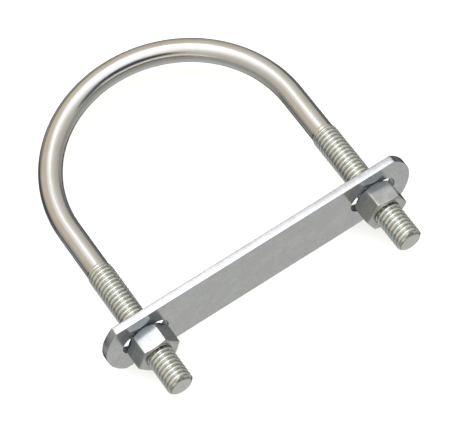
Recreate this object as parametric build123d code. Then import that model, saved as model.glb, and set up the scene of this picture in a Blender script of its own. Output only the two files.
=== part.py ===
from build123d import *
import math
import os

# Round-bend U-bolt with a slotted strap plate and two hex nuts, zinc plated.
# Frame: X across the two legs, +Y along the legs toward the bow, Z square to
# the plane of the U. The origin lies midway between the leg axes, on the face
# of the plate that clamps toward the bow. All lengths are in millimetres.

# thread, 3/8-16 UNC, right hand
thread_pitch = 25.4 / 16
thread_major_d = 9.44
thread_root_d = 7.60
thread_crest_flat = 0.25
flank_slope = math.tan(math.radians(30))
runout_lift = 1.0        # how far the root climbs in the last turn, out of the shank

# rod: the plain length is the blank the thread was rolled on
shank_d = 8.49
leg_spacing = 91.0
bow_centre_y = 46.3
thread_start_y = 27.8
leg_end_y = -25.4
swell_length = 0.8       # cone from the shank up to the thread crests
tip_flat_d = 7.40
tip_chamfer_length = 1.00

# strap plate, its ends struck to an arc that meets the long edges at a corner
plate_length = 121.2
plate_width = 25.4
plate_thickness = 3.0
plate_end_radius = 17.2
slot_length = 17.8
slot_width = 10.3
plate_edge_break = 0.25

# hex nuts, with a light chamfer outside and a deeper one against the plate
nut_across_flats = 14.29
nut_thickness = 8.7
nut_face_d = 13.5
nut_outer_chamfer = 15   # degrees from the nut's face
nut_plate_chamfer = 40
nut_turn = (4.5, -9)     # how far each hexagon is turned, degrees, left then right
nut_crest_d = 8.04
nut_root_d = 9.74
nut_flank_gap = 0.10     # along the axis, each side of a thread ridge
countersink_d = 9.9


def groove_half_width(radius):
    """Half the width of the rod's thread groove, measured at a radius."""
    at_crest = (thread_pitch - thread_crest_flat) / 2
    return at_crest - (thread_major_d / 2 - radius) * flank_slope


def thread_cutter(inner_r, inner_half, outer_r, outer_half, from_z, height, lift=0):
    """Right-hand helical wedge about Z, given its half width at two radii."""
    path = Helix(thread_pitch, height, inner_r, center=(0, 0, from_z),
                 cone_angle=math.degrees(math.atan2(lift, height)))
    reach = outer_r - inner_r
    with BuildSketch(Plane(origin=path @ 0, x_dir=(1, 0, 0), z_dir=path % 0)) as section:
        Polygon((0, -inner_half), (reach, -outer_half), (reach, outer_half), (0, inner_half),
                align=None)
    return sweep(section.sketch, path=path, is_frenet=True)


def groove(root_r, spread, from_z, height, lift=0):
    """The rod's thread groove down to a root radius, widened each side by a spread."""
    mouth_r = thread_major_d / 2 + thread_pitch / 4
    half = [groove_half_width(r) + spread for r in (root_r, mouth_r)]
    return thread_cutter(root_r, half[0], mouth_r, half[1], from_z, height, lift)


def disc_stack(*rim):
    """Solid of revolution about Z from (diameter, z) pairs, closed on the axis."""
    points = [(0, rim[0][1])] + [(d / 2, z) for d, z in rim] + [(0, rim[-1][1])]
    with BuildSketch(Plane.XZ) as half:
        Polygon(*points, align=None)
    return revolve(half.sketch, axis=Axis.Z)


def threaded_leg():
    """One leg along Z, from the chamfered tip up to the foot of the bow."""
    blank = disc_stack(
        (tip_flat_d, leg_end_y),
        (thread_major_d, leg_end_y + tip_chamfer_length),
        (thread_major_d, thread_start_y - swell_length),
        (shank_d, thread_start_y),
        (shank_d, bow_centre_y),
    )
    root_r, cut_height = thread_root_d / 2, full_turns * thread_pitch
    leg = blank - groove(root_r, 0, helix_start_y, cut_height)
    return leg - groove(root_r, 0, helix_start_y + cut_height, thread_pitch, runout_lift)


def u_bolt():
    """Both legs joined by the half-round bow."""
    arc = CenterArc((0, bow_centre_y), leg_spacing / 2, 0, 180)
    bow = sweep(Plane(origin=arc @ 0, z_dir=arc % 0) * Circle(shank_d / 2), path=arc)
    leg = along_y * threaded_leg()
    return bow + [Pos(x, 0, 0) * leg for x in leg_x]


def strap_plate():
    """Flat bar with arc ends and one long slot for each leg."""
    outline = SlotOverall(plate_length, 2 * plate_end_radius) & Rectangle(plate_length, plate_width)
    for x in leg_x:
        outline -= Pos(x, 0) * SlotOverall(slot_length, slot_width)
    bar = extrude(Plane.XZ * outline, plate_thickness)
    rims = [face.outer_wire().edges() for face in bar.faces().filter_by(Axis.Y)]
    return chamfer([edge for rim in rims for edge in rim], plate_edge_break)


def tapped_hole(low_y, top_y):
    """Room for a leg's thread, a little larger all round, run past both nut faces."""
    turns_below = int((low_y - helix_start_y) / thread_pitch) - 1
    turns = math.ceil((top_y - low_y) / thread_pitch) + 2
    run_past = 3 * thread_pitch
    barrel = disc_stack((nut_root_d, low_y - run_past), (nut_root_d, top_y + run_past))
    ridge = groove(nut_crest_d / 2, -nut_flank_gap,
                   helix_start_y + turns_below * thread_pitch, turns * thread_pitch)
    return seam_aside * barrel - ridge


def countersink(face_y, inward):
    """Cone that opens the thread at one nut face, run past the face and the crests."""
    reach = (countersink_d - nut_crest_d) / 2 + overrun
    return disc_stack((countersink_d + 2 * overrun, face_y - inward * overrun),
                      (nut_crest_d - 2 * overrun, face_y + inward * reach))


def hex_nut(x, turn):
    """Hex nut on the leg at x, chamfered at both ends, in step with the leg's thread."""
    top_y = -plate_thickness
    low_y = top_y - nut_thickness
    corner_d = nut_across_flats / math.cos(math.radians(30))
    outer_drop, plate_drop = [(corner_d - nut_face_d) / 2 * math.tan(math.radians(angle))
                              for angle in (nut_outer_chamfer, nut_plate_chamfer)]
    prism = Pos(0, 0, low_y) * extrude(Rot(0, 0, turn) * RegularPolygon(corner_d / 2, 6),
                                       nut_thickness)
    nut = prism & disc_stack((nut_face_d, low_y), (corner_d, low_y + outer_drop),
                             (corner_d, top_y - plate_drop), (nut_face_d, top_y))
    nut -= tapped_hole(low_y, top_y)
    nut -= countersink(low_y, 1)
    nut -= countersink(top_y, -1)
    return Pos(x, 0, 0) * along_y * nut


leg_x = (-leg_spacing / 2, leg_spacing / 2)
along_y = Rot(-90, 0, 0)                     # local Z becomes +Y
helix_start_y = leg_end_y - thread_pitch
full_turns = int((thread_start_y - helix_start_y) / thread_pitch) - 1
seam_aside = Rot(0, 0, 45)                   # keeps a barrel's seam off the helix's start
overrun = 0.1                                # how far a countersink's cone runs past its ends

nodes = {"u_bolt": u_bolt(), "strap_plate": strap_plate()}
for name, x, turn in zip(("nut_left", "nut_right"), leg_x, nut_turn):
    nodes[name] = hex_nut(x, turn)

os.makedirs("parts", exist_ok=True)
for name, solid in nodes.items():
    export_step(solid, f"parts/{name}.step")
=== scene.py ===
import math
import bmesh
import bpy
import numpy as np
from mathutils import Matrix, Vector


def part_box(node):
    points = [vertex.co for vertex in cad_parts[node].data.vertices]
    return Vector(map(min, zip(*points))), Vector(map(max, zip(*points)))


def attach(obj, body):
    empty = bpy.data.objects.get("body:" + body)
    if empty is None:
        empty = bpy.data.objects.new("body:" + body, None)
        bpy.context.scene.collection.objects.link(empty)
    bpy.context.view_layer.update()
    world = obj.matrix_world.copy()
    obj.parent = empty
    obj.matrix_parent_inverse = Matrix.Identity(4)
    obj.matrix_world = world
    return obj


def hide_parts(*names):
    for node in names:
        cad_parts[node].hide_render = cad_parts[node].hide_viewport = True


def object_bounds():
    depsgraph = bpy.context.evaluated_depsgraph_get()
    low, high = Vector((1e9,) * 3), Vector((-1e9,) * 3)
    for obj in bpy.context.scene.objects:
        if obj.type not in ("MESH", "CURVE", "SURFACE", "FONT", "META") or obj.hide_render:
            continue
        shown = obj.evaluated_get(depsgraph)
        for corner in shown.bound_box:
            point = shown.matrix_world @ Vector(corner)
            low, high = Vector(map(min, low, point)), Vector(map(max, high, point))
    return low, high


# Round-bend U-bolt with a slotted strap plate and two hex nuts, zinc plated.
# X runs across the legs, +Y along the legs to the bow, Z square to the U.

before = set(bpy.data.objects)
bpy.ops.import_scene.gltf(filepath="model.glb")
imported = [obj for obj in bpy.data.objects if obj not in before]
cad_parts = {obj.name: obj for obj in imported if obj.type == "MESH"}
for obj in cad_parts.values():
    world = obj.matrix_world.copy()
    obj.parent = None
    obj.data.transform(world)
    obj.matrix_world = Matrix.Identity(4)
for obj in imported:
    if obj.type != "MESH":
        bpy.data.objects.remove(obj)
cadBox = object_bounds()
boltLow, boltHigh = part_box("u_bolt")
plateLow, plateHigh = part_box("strap_plate")
mm = 0.001
print("frame loaded, box", [round(c / mm, 1) for c in cadBox[1] - cadBox[0]], "mm")


def srgbToLinear(code):
    # an sRGB hex colour such as "c8c9c6" as linear red, green, blue, alpha
    parts = np.array([int(code[i:i + 2], 16) / 255 for i in (0, 2, 4)])
    linear = np.where(parts <= 0.04045, parts / 12.92, ((parts + 0.055) / 1.055) ** 2.4)
    return (*linear.tolist(), 1.0)


def smoothStep(x):
    # 0 below 0, 1 above 1, and 3x^2 - 2x^3 between
    x = np.clip(x, 0, 1)
    return x * x * (3 - 2 * x)


def threadRadius(turns, rootR, crestR, spread):
    # turns counts pitches from a groove's centre; the 60 degree flank climbs
    # from a sharp root and rounds over onto a crest with a slight crown
    fromGroove = np.abs(turns - np.round(turns)) * thread["pitch"]
    mouthHalf = (thread["pitch"] - thread["crestFlat"]) / 2 + spread
    flank = thread["crestWidth"] / 2 + (fromGroove - mouthHalf) * math.tan(math.radians(60))
    fromCrest = (thread["pitch"] / 2 - fromGroove) / (thread["crestFlat"] / 2)
    crest = crestR - thread["crown"] * fromCrest ** 2
    blended = crest - thread["rounding"] * np.logaddexp(0, (crest - flank) / thread["rounding"])
    return np.maximum(blended, rootR)


def gridFaces(rows, columns, closed, first=0):
    # quads between neighbouring rows and columns of a grid numbered row by row
    row, column = np.meshgrid(np.arange(rows - 1), np.arange(columns - (0 if closed else 1)),
                              indexing="ij")
    right = (column + 1) % columns
    quad = [row * columns + column, row * columns + right,
            (row + 1) * columns + right, (row + 1) * columns + column]
    return np.stack(quad, -1).reshape(-1, 4) + first


def makePiece(name, points, faces, extras=()):
    # a mesh from points in mm and index arrays of faces; faces may mix 3 and 4 sides
    mesh = bpy.data.meshes.new(name)
    loops = np.concatenate([block.ravel() for block in faces])
    sides = np.concatenate([np.full(len(block), block.shape[1]) for block in faces])
    mesh.vertices.add(len(points))
    mesh.vertices.foreach_set("co", (points * mm).astype(np.float32).ravel())
    mesh.loops.add(len(loops))
    mesh.loops.foreach_set("vertex_index", loops.astype(np.int32))
    mesh.polygons.add(len(sides))
    mesh.polygons.foreach_set("loop_start", (np.cumsum(sides) - sides).astype(np.int32))
    mesh.update(calc_edges=True)
    for label, values in extras:
        mesh.attributes.new(label, "FLOAT", "POINT").data.foreach_set(
            "value", values.astype(np.float32).ravel())
    piece = bpy.data.objects.new(name, mesh)
    bpy.context.scene.collection.objects.link(piece)
    return piece


def tidyMesh(piece, weld=None, sharpOver=None):
    # welds seams, turns every face outward and sets smooth shading
    work = bmesh.new()
    work.from_mesh(piece.data)
    if weld:
        bmesh.ops.remove_doubles(work, verts=work.verts, dist=weld)
    bmesh.ops.recalc_face_normals(work, faces=work.faces)
    work.to_mesh(piece.data)
    work.free()
    piece.data.shade_smooth()
    if sharpOver:
        piece.data.set_sharp_from_angle(angle=math.radians(sharpOver))
    return piece


def roundedSection(corners, radii, steps, closed):
    # rows of points through the corner rows; each corner is cut back by its
    # radius along both neighbours and bridged by a quadratic curve
    rows, bend = [], []
    count = len(corners)
    for i, corner in enumerate(corners):
        if radii[i] == 0 or (not closed and i in (0, count - 1)):
            rows.append(corner)
            bend.append(0)
            continue
        arms = []
        for other in (corners[i - 1], corners[(i + 1) % count]):
            reach = other - corner
            length = np.linalg.norm(reach, axis=-1, keepdims=True)
            arms.append(corner + reach / length * np.minimum(radii[i], length * 0.45))
        for k in range(steps + 1):
            t = k / steps
            rows.append((1 - t) ** 2 * arms[0] + 2 * t * (1 - t) * corner + t * t * arms[1])
            bend.append(math.sin(math.pi * t))
    return np.stack(rows), np.array(bend)


# the thread that the bar and the nuts share
thread = dict(pitch=25.4 / 16, crestWidth=9.44, rootWidth=7.60, crestFlat=0.78,
              crown=0.06, rounding=0.05, startY=boltLow.y / mm)


# U-bolt: one round bar bent to a half circle, both legs threaded
bolt = dict(shankWidth=8.49, threadTopY=27.8, fadeTurns=1.7, tipWidth=7.40, tipLength=1.00,
            # rings of the tip's flat face and its softened rim: radius, and how far in they lie
            tipRings=[1.2, 2.4, 3.1, 3.52, 3.64, 3.70], tipSetback=[0, 0, 0, 0, 0.02, 0.07],
            firstThreadRow=0.12, lastShankGap=0.6,
            around=80, threadRowStep=0.125, shankRowStep=1.2, bowRows=132)
legX = boltHigh.x / mm - thread["crestWidth"] / 2
bowCentreY = boltHigh.y / mm - bolt["shankWidth"] / 2 - legX


def buildBolt():
    # radius(angle, length) carried along leg, half circle and leg: plain bar on
    # the bow, the helical thread on the legs, a cone and a flat disc at each tip
    tipY, topY = thread["startY"], bolt["threadTopY"]
    tipFace = np.array(bolt["tipRings"])
    threadY = np.arange(tipY + bolt["firstThreadRow"], topY, bolt["threadRowStep"])
    shankY = np.arange(topY, bowCentreY - bolt["lastShankGap"], bolt["shankRowStep"])
    legY = np.concatenate([tipY + np.array(bolt["tipSetback"]), threadY, shankY])
    cone = bolt["tipWidth"] / 2 + (legY - tipY) * (
        (thread["crestWidth"] - bolt["tipWidth"]) / 2 / bolt["tipLength"])
    limit = np.where(np.arange(len(legY)) < len(tipFace),
                     np.pad(tipFace, (0, len(legY) - len(tipFace))), cone)
    bend = np.linspace(math.pi, 0, bolt["bowRows"])
    arc = np.stack([legX * np.cos(bend), bowCentreY + legX * np.sin(bend)], -1)
    left = np.stack([np.full_like(legY, -legX), legY], -1)
    right = np.stack([np.full_like(legY, legX), legY], -1)[::-1]
    centre = np.concatenate([left, arc, right])
    outward = np.concatenate([np.tile([-1.0, 0], (len(legY), 1)),
                              np.stack([np.cos(bend), np.sin(bend)], -1),
                              np.tile([1.0, 0], (len(legY), 1))])
    side = np.concatenate([np.full(len(legY), -1), np.zeros(len(bend)), np.full(len(legY), 1)])
    limit = np.concatenate([limit, np.full(len(bend), np.inf), limit[::-1]])

    angle = np.arange(bolt["around"]) / bolt["around"] * 2 * math.pi
    climb = (centre[:, 1] - tipY)[:, None] / thread["pitch"]
    aroundLeg = np.where(side[:, None] < 0, angle / (2 * math.pi) - 0.5, -angle / (2 * math.pi))
    cut = threadRadius(aroundLeg - climb, thread["rootWidth"] / 2, thread["crestWidth"] / 2, 0)
    fade = smoothStep((topY - centre[:, 1]) / (bolt["fadeTurns"] * thread["pitch"]))
    fade = np.where(side == 0, 0, fade)[:, None]
    radius = bolt["shankWidth"] / 2 * (1 - fade) + cut * fade
    radius = np.minimum(radius, limit[:, None])

    sideways = (radius * np.cos(angle))[..., None]
    flat = centre[:, None, :] + sideways * outward[:, None, :]
    points = np.concatenate([flat, (radius * np.sin(angle))[..., None]], -1)
    rows, columns = radius.shape
    tips = np.array([[-legX, tipY, 0], [legX, tipY, 0]])
    grid = gridFaces(rows, columns, True)
    ring = np.arange(columns)
    nextRing = (ring + 1) % columns
    tipFirst, tipLast = rows * columns, rows * columns + 1
    lastRow = (rows - 1) * columns
    fanFirst = np.stack([np.full(columns, tipFirst), nextRing, ring], -1)
    fanLast = np.stack([np.full(columns, tipLast), lastRow + ring, lastRow + nextRing], -1)
    # groove depth, which the bar's finish turns into painted shade in the thread roots
    depth = np.clip((thread["crestWidth"] / 2 - radius) / (
        (thread["crestWidth"] - thread["rootWidth"]) / 2), 0, 1) * fade
    depth = np.where(limit[:, None] < thread["rootWidth"] / 2 + 0.01, 0, depth)
    threaded = np.broadcast_to(fade, radius.shape)
    piece = makePiece("UBoltBar", np.concatenate([points.reshape(-1, 3), tips]),
                      [grid, fanFirst, fanLast],
                      [("rootDepth", np.append(depth, [0, 0])),
                       ("threaded", np.append(threaded, [0, 0]))])

    # the map runs around the bar in U and along it in V, both in metres, so
    # drawing lines keep their size and follow the bend
    step = np.linalg.norm(np.diff(centre, axis=0), axis=1)
    along = np.concatenate([[0], np.cumsum(step)]) * mm
    roundUp = np.arange(columns + 1) / columns * math.pi * bolt["shankWidth"] * mm
    row, column = np.meshgrid(np.arange(rows - 1), np.arange(columns), indexing="ij")
    corners = [(column, row), (column + 1, row), (column + 1, row + 1), (column, row + 1)]
    gridMap = np.stack([np.stack([roundUp[c], along[r]], -1) for c, r in corners], -2)
    fanMap = [np.stack([np.stack([roundUp[ring + a], np.full(columns, v)], -1)
                        for a in order], -2)
              for order, v in (((0, 1, 0), along[0]), ((0, 0, 1), along[-1]))]
    uvMap = piece.data.uv_layers.new(name="barMap")
    uvMap.data.foreach_set("uv", np.concatenate(
        [gridMap.reshape(-1, 2)] + [m.reshape(-1, 2) for m in fanMap]).astype(np.float32).ravel())
    return piece


boltPiece = tidyMesh(buildBolt(), sharpOver=62)
print("bar built,", len(boltPiece.data.polygons), "faces")


# strap plate: flat bar with arc ends and a long slot for each leg
plate = dict(endRadius=17.2, slotLength=17.8, slotWidth=10.3, edgeRound=0.25, slotRound=0.18,
             edgeSteps=4, cornerSteps=4, faceRows=12, sideStations=56, endStations=24,
             middleStations=12)
plateHalf = Vector(((plateHigh.x - plateLow.x) / 2 / mm, (plateHigh.z - plateLow.z) / 2 / mm))
plateNearY, plateFarY = plateHigh.y / mm, plateLow.y / mm


def capsuleHit(angle, halfStraight, radius):
    # where a ray from a capsule's centre leaves it, and the outward direction there
    c, s = np.cos(angle), np.sin(angle)
    reach = np.abs(c) * halfStraight + np.sqrt(np.maximum(
        radius ** 2 - (s * halfStraight) ** 2, 0))
    onSide = radius * np.abs(c) <= halfStraight * np.abs(s)
    reach = np.where(onSide, radius / np.maximum(np.abs(s), 1e-9), reach)
    point = np.stack([reach * c, reach * s], -1)
    core = np.stack([np.clip(point[:, 0], -halfStraight, halfStraight), 0 * c], -1)
    return point, (point - core) / radius


def plateRim(inset):
    # half the outline about a slot's centre, set in by the inset: the long side,
    # a fan that rounds the corner, and the end arc, then the same mirrored; the
    # turn is the outward direction at each point
    halfWidth, arcR = plateHalf.y - inset, plate["endRadius"] - inset
    arcX = legX - (plateHalf.x - plate["endRadius"])
    cornerTurn = math.pi - math.asin(halfWidth / arcR)
    sideX = np.linspace(legX, arcX + arcR * math.cos(cornerTurn), plate["sideStations"])
    fanTurn = np.linspace(math.pi / 2, cornerTurn, plate["cornerSteps"] + 1)[1:-1]
    endTurn = np.linspace(cornerTurn, math.pi, plate["endStations"])
    x = np.concatenate([sideX, np.full(len(fanTurn), sideX[-1]), arcX + arcR * np.cos(endTurn)])
    z = np.concatenate([np.full(len(sideX) + len(fanTurn), halfWidth), arcR * np.sin(endTurn)])
    turn = np.concatenate([np.full(len(sideX), math.pi / 2), fanTurn, endTurn])
    rim = np.stack([np.append(x, x[-2::-1]), np.append(z, -z[-2::-1])], -1)
    turn = np.append(turn, 2 * math.pi - turn[-2::-1])
    return rim, np.stack([np.cos(turn), np.sin(turn)], -1)


def buildPlate():
    # one half is a fan of stations about the slot's centre: each station runs
    # from the slot's edge out to the plate's edge; rims carry a rounded section
    # round the slot and the outline; the other half is the first turned 180 degrees
    inset, slotInset = plate["edgeRound"], plate["slotRound"]
    rim, rimOut = plateRim(inset)
    acrossZ = np.linspace(rim[-1, 1], rim[0, 1], plate["middleStations"] + 1)[1:-1]
    edge = np.concatenate([rim, np.stack([np.full(len(acrossZ), legX), acrossZ], -1)])
    slotHalf = (plate["slotLength"] - plate["slotWidth"]) / 2
    slotEdge, slotOut = capsuleHit(np.arctan2(edge[:, 1], edge[:, 0]), slotHalf,
                                   plate["slotWidth"] / 2 + slotInset)

    def place(flat, y):
        # face coordinates about the slot's centre to X, Y, Z
        return np.stack([flat[:, 0] - legX, np.full(len(flat), y), flat[:, 1]], -1)

    blocks = []
    share = np.concatenate([[0], np.linspace(0.02, 0.98, plate["faceRows"]), [1]])
    for y in (plateNearY, plateFarY):
        blocks.append((np.stack([place(slotEdge * (1 - f) + edge * f, y) for f in share]), True))
    for inner, wall, radius, closed in (
            (slotEdge, slotEdge - slotOut * slotInset, slotInset, True),
            (rim, rim + rimOut * inset, inset, False)):
        section = [place(inner, plateNearY), place(wall, plateNearY),
                   place(wall, plateFarY), place(inner, plateFarY)]
        blocks.append((roundedSection(section, [0, radius, radius, 0],
                                      plate["edgeSteps"], False)[0], closed))

    points, faces, start = [], [], 0
    for turn in (1, -1):
        for rows, closed in blocks:
            points.append((rows * [turn, 1, turn]).reshape(-1, 3))
            faces.append(gridFaces(rows.shape[0], rows.shape[1], closed, start))
            start += rows.shape[0] * rows.shape[1]
    return makePiece("StrapPlateBar", np.concatenate(points), faces)


platePiece = tidyMesh(buildPlate(), weld=2e-6)
print("strap plate built,", len(platePiece.data.polygons), "faces")


# hex nuts: chamfered both ends, countersunk and tapped
nut = dict(acrossFlats=14.29, faceWidth=13.5, outerChamfer=15, plateChamfer=40, cornerRound=0.16,
           edgeRound=0.10, flatCrown=0.08, sinkWidth=9.9, crestWidth=8.04, rootWidth=9.74,
           flankGap=0.10, wearReach=0.45, wearSoft=0.35, flatStations=10, cornerSteps=4,
           boreRows=66, flatRows=9, turn=dict(left=4.5, right=-9))


def buildNut(name, side, turn):
    # the section at each station round the hexagon: bore with its thread,
    # countersink, end face, chamfer cone, flat, and the same again at the far end
    low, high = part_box("nut_" + name)
    nearY, farY = high.y / mm, low.y / mm
    cornerR = nut["acrossFlats"] / 2 / math.cos(math.pi / 6)
    innerCornerR = cornerR - nut["cornerRound"] / math.cos(math.pi / 6)
    steps = np.linspace(-math.pi / 6, math.pi / 6, nut["cornerSteps"] + 1)
    outline = []
    for k in range(6):
        at = math.radians(turn) + k * math.pi / 3
        centre = innerCornerR * np.array([math.cos(at), math.sin(at)])
        arc = centre + nut["cornerRound"] * np.stack([np.cos(at + steps), np.sin(at + steps)], -1)
        nextAt = at + math.pi / 3
        nextCentre = innerCornerR * np.array([math.cos(nextAt), math.sin(nextAt)])
        nextFirst = nextCentre + nut["cornerRound"] * np.array(
            [math.cos(nextAt - math.pi / 6), math.sin(nextAt - math.pi / 6)])
        share = np.arange(1, nut["flatStations"])[:, None] / nut["flatStations"]
        outline += [arc, arc[-1] * (1 - share) + nextFirst * share]
    outline = np.concatenate(outline)
    reach = np.linalg.norm(outline, axis=-1)
    direction = outline / reach[:, None]
    angle = np.arctan2(direction[:, 1], direction[:, 0])

    def ring(radius, y):
        # points at a radius (one or one per station) and height, on the leg's axis
        flat = direction * np.broadcast_to(radius, reach.shape)[:, None]
        return np.stack([flat[:, 0], np.broadcast_to(y, reach.shape), flat[:, 1]], -1)

    beyondFace = reach - nut["faceWidth"] / 2
    nearDrop = beyondFace * math.tan(math.radians(nut["plateChamfer"]))
    farDrop = beyondFace * math.tan(math.radians(nut["outerChamfer"]))
    sinkR = nut["sinkWidth"] / 2
    along = np.linspace(-1, 1, nut["flatRows"])
    flat = [ring(reach - nut["flatCrown"] * u * u,
                 (nearY - nearDrop) * (1 - u) / 2 + (farY + farDrop) * (1 + u) / 2) for u in along]
    outside = [ring(sinkR, nearY), ring(nut["faceWidth"] / 2, nearY), *flat,
               ring(nut["faceWidth"] / 2, farY), ring(sinkR, farY)]
    edgeRound = nut["edgeRound"]
    radii = [0, edgeRound, edgeRound] + [0] * (len(flat) - 2) + [edgeRound, edgeRound, 0]
    shell, bend = roundedSection(outside, radii, 4, False)

    # bore: the thread stands in step with the leg's, opened by the countersinks
    boreY = np.linspace(farY, nearY, nut["boreRows"])[1:-1]
    climb = (boreY[:, None] - thread["startY"]) / thread["pitch"]
    turns = -angle[None, :] / (2 * math.pi) - climb
    bore = threadRadius(turns, nut["crestWidth"] / 2, nut["rootWidth"] / 2, -nut["flankGap"])
    cone = sinkR - np.minimum(nearY - boreY, boreY - farY)
    bore = np.maximum(bore, cone[:, None])
    inside = np.stack([ring(r, y) for r, y in zip(bore, boreY)])
    rows = np.concatenate([shell, inside])
    bend = np.concatenate([bend, np.zeros(len(inside))])
    rows = np.concatenate([rows, rows[:1]]) + [side * legX, 0, 0]
    bend = np.append(bend, 0)
    wear = np.broadcast_to(bend[:, None], rows.shape[:2])
    atCorner = np.clip((reach - (cornerR - nut["wearReach"])) / nut["wearSoft"], 0, 1)
    wear = np.maximum(wear, atCorner[None, :] * (np.arange(len(rows)) < len(shell))[:, None])
    return makePiece("HexNut" + name.capitalize(), rows.reshape(-1, 3),
                     [gridFaces(rows.shape[0], rows.shape[1], True)], [("edgeWear", wear)])


nutPieces = {name: tidyMesh(buildNut(name, side, nut["turn"][name]), weld=2e-6, sharpOver=50)
             for name, side in (("left", -1), ("right", 1))}
print("nuts built,", len(nutPieces["left"].data.polygons), "faces each")


def addNode(tree, kind, settings={}, values={}, links={}):
    # one shader node with its settings, socket values and incoming links
    item = tree.nodes.new(kind)
    for key, value in settings.items():
        setattr(item, key, value)
    for key, value in values.items():
        item.inputs[key].default_value = value
    for key, source in links.items():
        tree.links.new(source, item.inputs[key])
    return item


def setStops(ramp, stops):
    # colour stops as (place, hex colour)
    ramp.color_ramp.elements[0].position, ramp.color_ramp.elements[1].position = 0, 1
    while len(ramp.color_ramp.elements) < len(stops):
        ramp.color_ramp.elements.new(0.5)
    for element, (place, code) in zip(ramp.color_ramp.elements, stops):
        element.position, element.color = place, srgbToLinear(code)
    return ramp


def startFinish(name, roughness):
    # a bare metal: metallic throughout, default IOR, only a start for roughness
    finish = bpy.data.materials.new(name)
    finish.use_nodes = True
    tree = finish.node_tree
    surface = tree.nodes["Principled BSDF"]
    surface.inputs["Metallic"].default_value = 1.0
    surface.inputs["Roughness"].default_value = roughness
    return finish, tree, surface


def spreadRoughness(tree, noise, zinc):
    # the middle of a noise carried from the finish's low to its high roughness
    return addNode(tree, "ShaderNodeMapRange", values={
        "From Min": 0.3, "From Max": 0.7, "To Min": zinc["roughLow"], "To Max": zinc["roughHigh"]},
        links=dict(Value=noise.outputs["Fac"]))


# bright zinc electroplate over cold-drawn bar: glossy and a little uneven, with
# faint lines along the bar from the drawing die and a slow warm to cool drift of
# the passivation; the rolled thread is duller, with painted shade darkening its roots
barZinc = dict(drawLineWidth=0.35, drawLineLength=22, tintSize=14, peelSize=0.8,
               lineHeight=0.004, peelHeight=0.016, roughLow=0.12, roughHigh=0.21,
               threadRough=0.07, threadTintShare=0.8, rootShadeFrom=0.25, rootShadeShare=0.9,
               light="d6d6d4", warm="d0cdc6", root="96978e", threadTint="dfe3dd")


def finishBar():
    finish, tree, surface = startFinish("zincPlatedColdDrawnSteel", 0.22)
    mapped = addNode(tree, "ShaderNodeUVMap", dict(uv_map="barMap"))
    lines = addNode(tree, "ShaderNodeMapping", values=dict(Scale=(
        1 / (barZinc["drawLineWidth"] * mm), 1 / (barZinc["drawLineLength"] * mm), 1)),
        links=dict(Vector=mapped.outputs["UV"]))
    drawn = addNode(tree, "ShaderNodeTexNoise", values=dict(Scale=1, Detail=4, Roughness=0.6),
                    links=dict(Vector=lines.outputs["Vector"]))
    place = addNode(tree, "ShaderNodeTexCoord")
    cloud = addNode(tree, "ShaderNodeTexNoise", values=dict(
        Scale=1 / (barZinc["tintSize"] * mm), Detail=5, Roughness=0.55),
        links=dict(Vector=place.outputs["Object"]))
    base = setStops(addNode(tree, "ShaderNodeValToRGB", links=dict(Fac=cloud.outputs["Fac"])),
                    [(0.35, barZinc["warm"]), (0.62, barZinc["light"])])
    # painted shade in the thread roots: the groove depth mixes the base toward the dark root colour
    depth = addNode(tree, "ShaderNodeAttribute", dict(attribute_name="rootDepth"))
    rootShadeShare = addNode(tree, "ShaderNodeMapRange", values={
        "From Min": barZinc["rootShadeFrom"], "To Max": barZinc["rootShadeShare"]},
        links=dict(Value=depth.outputs["Fac"]))
    threaded = addNode(tree, "ShaderNodeAttribute", dict(attribute_name="threaded"))
    tintShare = addNode(tree, "ShaderNodeMath", dict(operation="MULTIPLY"),
                        {1: barZinc["threadTintShare"]}, {0: threaded.outputs["Fac"]})
    tinted = addNode(tree, "ShaderNodeMix", dict(data_type="RGBA"),
                     {7: srgbToLinear(barZinc["threadTint"])},
                     {0: tintShare.outputs["Value"], 6: base.outputs["Color"]})
    dark = addNode(tree, "ShaderNodeMix", dict(data_type="RGBA"),
                   {7: srgbToLinear(barZinc["root"])},
                   {0: rootShadeShare.outputs["Result"], 6: tinted.outputs[2]})
    tree.links.new(dark.outputs[2], surface.inputs["Base Color"])
    rough = spreadRoughness(tree, drawn, barZinc)
    roughThread = addNode(tree, "ShaderNodeMath", dict(operation="MULTIPLY_ADD"),
                          {1: barZinc["threadRough"]},
                          {0: threaded.outputs["Fac"], 2: rough.outputs["Result"]})
    tree.links.new(roughThread.outputs["Value"], surface.inputs["Roughness"])
    peel = addNode(tree, "ShaderNodeTexNoise", values=dict(
        Scale=1 / (barZinc["peelSize"] * mm), Detail=3, Roughness=0.6),
        links=dict(Vector=place.outputs["Object"]))
    uneven = addNode(tree, "ShaderNodeBump", values=dict(
        Strength=0.5, Distance=barZinc["peelHeight"] * mm), links=dict(Height=peel.outputs["Fac"]))
    bump = addNode(tree, "ShaderNodeBump", values=dict(
        Strength=0.5, Distance=barZinc["lineHeight"] * mm),
        links=dict(Height=drawn.outputs["Fac"], Normal=uneven.outputs["Normal"]))
    tree.links.new(bump.outputs["Normal"], surface.inputs["Normal"])
    return finish


# satin zinc electroplate over hot-rolled strip: soft reflections, cloudy
# passivation with fine dull specks, and shear lines across the cut long edges
plateZinc = dict(cloudSize=5, speckSize=0.7, speckShare=0.7, speckHeight=0.004,
                 shearSpacing=0.45, shearLength=7, shearHeight=0.004,
                 roughLow=0.16, roughHigh=0.26, light="d9dbdb", dull="cfd1d1", warm="d0cfcb",
                 cutDull="d2d2d8", cutBright="dedee2")


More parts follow.
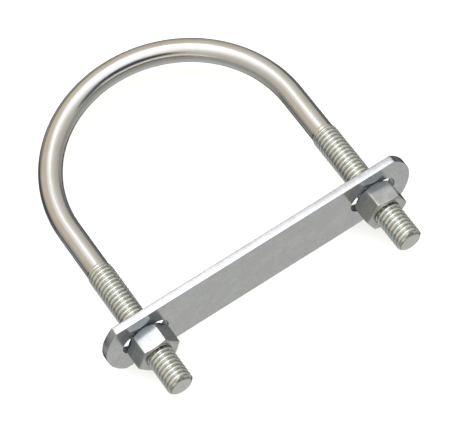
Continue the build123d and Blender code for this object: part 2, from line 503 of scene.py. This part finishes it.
def finishPlate():
    finish, tree, surface = startFinish("zincPlatedRolledStrip", 0.38)
    place = addNode(tree, "ShaderNodeTexCoord")
    cloud = addNode(tree, "ShaderNodeTexNoise", values=dict(
        Scale=1 / (plateZinc["cloudSize"] * mm), Detail=6, Roughness=0.6),
        links=dict(Vector=place.outputs["Object"]))
    base = setStops(addNode(tree, "ShaderNodeValToRGB", links=dict(Fac=cloud.outputs["Fac"])),
                    [(0.34, plateZinc["warm"]), (0.48, plateZinc["dull"]),
                     (0.66, plateZinc["light"])])
    speck = addNode(tree, "ShaderNodeTexNoise", values=dict(
        Scale=1 / (plateZinc["speckSize"] * mm), Detail=4, Roughness=0.65),
        links=dict(Vector=place.outputs["Object"]))
    speckShade = setStops(addNode(tree, "ShaderNodeValToRGB", links=dict(Fac=speck.outputs["Fac"])),
                          [(0.32, "e8e8e8"), (0.52, "ffffff")])
    speckled = addNode(tree, "ShaderNodeMix", dict(data_type="RGBA", blend_type="MULTIPLY"),
                       {0: plateZinc["speckShare"]},
                       {6: base.outputs["Color"], 7: speckShade.outputs["Color"]})
    across = addNode(tree, "ShaderNodeMapping", values=dict(Scale=(
        1 / (plateZinc["shearSpacing"] * mm), 1 / (plateZinc["shearLength"] * mm),
        1 / (plateZinc["shearLength"] * mm))), links=dict(Vector=place.outputs["Object"]))
    shear = addNode(tree, "ShaderNodeTexNoise", values=dict(Scale=1, Detail=3, Roughness=0.5),
                    links=dict(Vector=across.outputs["Vector"]))
    facing = addNode(tree, "ShaderNodeSeparateXYZ", links=dict(Vector=place.outputs["Normal"]))
    cutShare = addNode(tree, "ShaderNodeMath", dict(operation="ABSOLUTE"),
                       links={0: facing.outputs["Z"]})
    cutShade = setStops(addNode(tree, "ShaderNodeValToRGB", links=dict(Fac=shear.outputs["Fac"])),
                        [(0.35, plateZinc["cutDull"]), (0.65, plateZinc["cutBright"])])
    colour = addNode(tree, "ShaderNodeMix", dict(data_type="RGBA", blend_type="MULTIPLY"), {},
                     {0: cutShare.outputs["Value"], 6: speckled.outputs[2],
                      7: cutShade.outputs["Color"]})
    tree.links.new(colour.outputs[2], surface.inputs["Base Color"])
    rough = spreadRoughness(tree, cloud, plateZinc)
    tree.links.new(rough.outputs["Result"], surface.inputs["Roughness"])
    pitted = addNode(tree, "ShaderNodeBump", values=dict(
        Strength=0.4, Distance=plateZinc["speckHeight"] * mm),
        links=dict(Height=speck.outputs["Fac"]))
    sheared = addNode(tree, "ShaderNodeBump", values=dict(Distance=plateZinc["shearHeight"] * mm),
                      links=dict(Strength=cutShare.outputs["Value"], Height=shear.outputs["Fac"],
                                 Normal=pitted.outputs["Normal"]))
    tree.links.new(sheared.outputs["Normal"], surface.inputs["Normal"])
    return finish


# zinc electroplate over a cold-formed, tapped nut: satin flats with a fine grain
# along the axis, a painted bluish shade on the side next to the plate, a lighter end face, and
# corners rubbed brighter by spanners
nutZinc = dict(cloudSize=5, grainWidth=0.35, grainLength=5, grainHeight=0.004,
               roughLow=0.16, roughHigh=0.28, nearPlateShadeFrom=-6.4, nearPlateShadeFull=-5.6, nearPlateShadeShare=0.8,
               faceDepth=0.5, faceShare=0.9, light="bcc0c2", dull="acaeac", worn="cccfcf",
               nearPlateShade="9aa1aa", face="cfcdc9")


def finishNut():
    finish, tree, surface = startFinish("zincPlatedColdFormedSteel", 0.3)
    place = addNode(tree, "ShaderNodeTexCoord")
    cloud = addNode(tree, "ShaderNodeTexNoise", values=dict(
        Scale=1 / (nutZinc["cloudSize"] * mm), Detail=5, Roughness=0.6),
        links=dict(Vector=place.outputs["Object"]))
    base = setStops(addNode(tree, "ShaderNodeValToRGB", links=dict(Fac=cloud.outputs["Fac"])),
                    [(0.36, nutZinc["dull"]), (0.62, nutZinc["light"])])
    along = addNode(tree, "ShaderNodeSeparateXYZ", links=dict(Vector=place.outputs["Object"]))
    # painted shade: the nut's plate side is mixed toward a darker bluish grey, as shade next to the
    # plate
    nearPlateShadeShare = addNode(tree, "ShaderNodeMapRange", values={
        "From Min": nutZinc["nearPlateShadeFrom"] * mm, "From Max": nutZinc["nearPlateShadeFull"] * mm,
        "To Max": nutZinc["nearPlateShadeShare"]},
        links=dict(Value=along.outputs["Y"]))
    nearPlateShaded = addNode(tree, "ShaderNodeMix", dict(data_type="RGBA"),
                     {7: srgbToLinear(nutZinc["nearPlateShade"])},
                     {0: nearPlateShadeShare.outputs["Result"], 6: base.outputs["Color"]})
    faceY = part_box("nut_left")[0].y
    faceShare = addNode(tree, "ShaderNodeMapRange", values={
        "From Min": faceY + nutZinc["faceDepth"] * mm, "From Max": faceY,
        "To Max": nutZinc["faceShare"]},
        links=dict(Value=along.outputs["Y"]))
    faced = addNode(tree, "ShaderNodeMix", dict(data_type="RGBA"),
                     {7: srgbToLinear(nutZinc["face"])},
                    {0: faceShare.outputs["Result"], 6: nearPlateShaded.outputs[2]})
    worn = addNode(tree, "ShaderNodeAttribute", dict(attribute_name="edgeWear"))
    wornShare = addNode(tree, "ShaderNodeMath", dict(operation="MULTIPLY"),
                        links={0: worn.outputs["Fac"], 1: cloud.outputs["Fac"]})
    colour = addNode(tree, "ShaderNodeMix", dict(data_type="RGBA"),
                     {7: srgbToLinear(nutZinc["worn"])},
                     {0: wornShare.outputs["Value"], 6: faced.outputs[2]})
    tree.links.new(colour.outputs[2], surface.inputs["Base Color"])
    stretched = addNode(tree, "ShaderNodeMapping", values=dict(Scale=(
        1 / (nutZinc["grainWidth"] * mm), 1 / (nutZinc["grainLength"] * mm),
        1 / (nutZinc["grainWidth"] * mm))), links=dict(Vector=place.outputs["Object"]))
    grain = addNode(tree, "ShaderNodeTexNoise", values=dict(Scale=1, Detail=4, Roughness=0.6),
                    links=dict(Vector=stretched.outputs["Vector"]))
    rough = spreadRoughness(tree, cloud, nutZinc)
    tree.links.new(rough.outputs["Result"], surface.inputs["Roughness"])
    bump = addNode(tree, "ShaderNodeBump", values=dict(
        Strength=0.4, Distance=nutZinc["grainHeight"] * mm),
        links=dict(Height=grain.outputs["Fac"]))
    tree.links.new(bump.outputs["Normal"], surface.inputs["Normal"])
    return finish


barFinish, plateFinish, nutFinish = finishBar(), finishPlate(), finishNut()
rides = [(boltPiece, "u_bolt", "bolt_zinc", barFinish),
         (platePiece, "strap_plate", "plate_zinc", plateFinish),
         (nutPieces["left"], "nut_left", "nut_zinc", nutFinish),
         (nutPieces["right"], "nut_right", "nut_zinc", nutFinish)]
for piece, body, slotName, finish in rides:
    piece.data.materials.append(finish)
    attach(piece, body)
    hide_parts(body)
print("finishes and bodies set")


# floor, light and camera
studio = dict(
    floorSize=6.0, floorColour="d6d6d5", seenPast="f7f7f6", glow=1.6,
    # the room's brightness from straight below to straight above, as (degrees up, colour)
    wall=[(-90, "b6b6b4"), (-75, "aaaaa8"), (-45, "999998"), (-15, "838382"), (0, "989692"),
          (15, "a6a29c"), (30, "b0ada6"), (45, "bdbab6"), (55, "d4d3d1"), (62, "e7e7e6"),
          (70, "f8f8f8"), (90, "ffffff")],
    # cards round the table: bearing from +X toward +Y, degrees up, half width and height, colour
    cards=[("warmWall", 105, 27, 62, 24, "b9ae9c"), ("tableEdge", 67, -58, 86, 40, "3e4143"),
           ("blackFlag", -90, 36, 44, 17, "363e48"), ("flagEnd", -53, 21, 15, 14, "48525c"),
           ("lowStrip", -108, 8, 50, 11, "d8d0c4"), ("darkBehind", 97, 1, 24, 10, "6c675c"),
           ("darkLeft", 130, -23, 25, 17, "404243"),
           ("darkRight", 26, -10, 22, 16, "58595c")],
    cardSolid=0.65, cardGone=1.10, softboxSize=0.5, softboxPlace=(0.15, 0.35, 1.2),
    softboxPower=1.6, fillSize=2.2, fillHeight=2.0, fillPower=62)


def buildFloor():
    # a flat pale sheet just under the lowest point, plain like seamless paper
    half, z = studio["floorSize"] / 2 / mm, cadBox[0].z / mm
    corners = np.array([[-half, -half, z], [half, -half, z], [half, half, z], [-half, half, z]])
    floor = makePiece("studioFloor", corners, [np.array([[0, 1, 2, 3]])])
    paper = bpy.data.materials.new("seamlessPaper")
    paper.use_nodes = True
    surface = paper.node_tree.nodes["Principled BSDF"]
    surface.inputs["Base Color"].default_value = srgbToLinear(studio["floorColour"])
    surface.inputs["Roughness"].default_value = 0.9
    floor.data.materials.append(paper)
    floor.visible_glossy = False    # the metal mirrors the studio round it, not bare paper


def addSoftbox(name, place, aim, size, power):
    # a square area light at a place, facing the aim point
    light = bpy.data.lights.new(name, "AREA")
    light.shape, light.size, light.energy = "SQUARE", size, power
    lamp = bpy.data.objects.new(name, light)
    bpy.context.scene.collection.objects.link(lamp)
    place, aim = Vector(place), Vector(aim)
    lamp.matrix_world = Matrix.Translation(place) @ (
        place - aim).to_track_quat("Z", "Y").to_matrix().to_4x4()
    lamp.visible_camera = False
    return lamp


def buildStudio():
    # the room seen in the metal: a wall that brightens upward, and soft-edged cards on it
    world = bpy.data.worlds.new("studioRoom")
    bpy.context.scene.world = world
    world.use_nodes = True
    tree = world.node_tree
    tree.nodes.clear()
    look = addNode(tree, "ShaderNodeTexCoord")
    split = addNode(tree, "ShaderNodeSeparateXYZ", links=dict(Vector=look.outputs["Generated"]))
    up = addNode(tree, "ShaderNodeMath", dict(operation="ARCSINE"), links={0: split.outputs["Z"]})
    bearing = addNode(tree, "ShaderNodeMath", dict(operation="ARCTAN2"),
                      links={0: split.outputs["Y"], 1: split.outputs["X"]})
    height = addNode(tree, "ShaderNodeMapRange", values={
        "From Min": -math.pi / 2, "From Max": math.pi / 2}, links=dict(Value=up.outputs["Value"]))
    wall = setStops(addNode(tree, "ShaderNodeValToRGB", links=dict(Fac=height.outputs["Result"])),
                    [((degrees + 90) / 180, code) for degrees, code in studio["wall"]])
    colour = wall.outputs["Color"]
    for name, bearingAt, upAt, halfWide, halfTall, code in studio["cards"]:
        aside = addNode(tree, "ShaderNodeMath", dict(operation="SUBTRACT"),
                        {1: math.radians(bearingAt)}, {0: bearing.outputs["Value"]})
        wrapped = addNode(tree, "ShaderNodeMath", dict(operation="WRAP"),
                          {1: math.pi, 2: -math.pi}, {0: aside.outputs["Value"]})
        above = addNode(tree, "ShaderNodeMath", dict(operation="SUBTRACT"),
                        {1: math.radians(upAt)}, {0: up.outputs["Value"]})
        away = addNode(tree, "ShaderNodeCombineXYZ",
                       links=dict(X=wrapped.outputs["Value"], Y=above.outputs["Value"]))
        shrink = (1 / math.radians(halfWide), 1 / math.radians(halfTall), 0)
        scaled = addNode(tree, "ShaderNodeVectorMath", dict(operation="MULTIPLY"),
                         {1: shrink}, {0: away.outputs["Vector"]})
        reach = addNode(tree, "ShaderNodeVectorMath", dict(operation="LENGTH"),
                        links={0: scaled.outputs["Vector"]})
        share = addNode(tree, "ShaderNodeMapRange", dict(interpolation_type="SMOOTHSTEP"),
                        {"From Min": studio["cardSolid"], "From Max": studio["cardGone"],
                         "To Min": 1.0, "To Max": 0.0},
                        dict(Value=reach.outputs["Value"]))
        card = addNode(tree, "ShaderNodeMix", dict(data_type="RGBA", label=name),
                       {7: srgbToLinear(code)}, {0: share.outputs["Result"], 6: colour})
        colour = card.outputs[2]
    seen = addNode(tree, "ShaderNodeLightPath")
    pale = addNode(tree, "ShaderNodeMix", dict(data_type="RGBA"),
                   {7: srgbToLinear(studio["seenPast"])},
                   {0: seen.outputs["Is Camera Ray"], 6: colour})
    strength = addNode(tree, "ShaderNodeMapRange", values={
        "To Min": studio["glow"], "To Max": 1.0}, links=dict(Value=seen.outputs["Is Camera Ray"]))
    glow = addNode(tree, "ShaderNodeBackground", links=dict(
        Color=pale.outputs[2], Strength=strength.outputs["Result"]))
    addNode(tree, "ShaderNodeOutputWorld", links=dict(Surface=glow.outputs["Background"]))
    addSoftbox("overheadSoftbox", studio["softboxPlace"], (0, 0, 0),
               studio["softboxSize"], studio["softboxPower"])
    fill = addSoftbox("paperFill", (0, 0, studio["fillHeight"]), (0, 0, 0),
                      studio["fillSize"], studio["fillPower"])
    fill.visible_glossy = False    # it lights the paper and stays out of the metal
    fill.data.use_shadow = False


view = dict(place=(-163.43, -371.97, 750.51), forward=(0.19170, 0.45306, -0.87063),
            right=(0.83458, -0.54204, -0.09831), lens=199.63, sensor=36)


def addCamera():
    # a long lens looking down on the U from the threaded side, rolled a little
    forward, right = Vector(view["forward"]).normalized(), Vector(view["right"])
    right = (right - forward * right.dot(forward)).normalized()
    up = right.cross(forward)
    turn = Matrix((right, up, -forward)).transposed().to_4x4()
    data = bpy.data.cameras.new("studioCamera")
    data.lens, data.sensor_width, data.sensor_fit = view["lens"], view["sensor"], "HORIZONTAL"
    data.clip_start, data.clip_end = 0.05, 50
    camera = bpy.data.objects.new("studioCamera", data)
    bpy.context.scene.collection.objects.link(camera)
    camera.matrix_world = Matrix.Translation(Vector(view["place"]) * mm) @ turn
    bpy.context.scene.camera = camera


buildFloor()
buildStudio()
addCamera()
bpy.context.scene.view_settings.view_transform = "Standard"
print("floor, light and camera set")
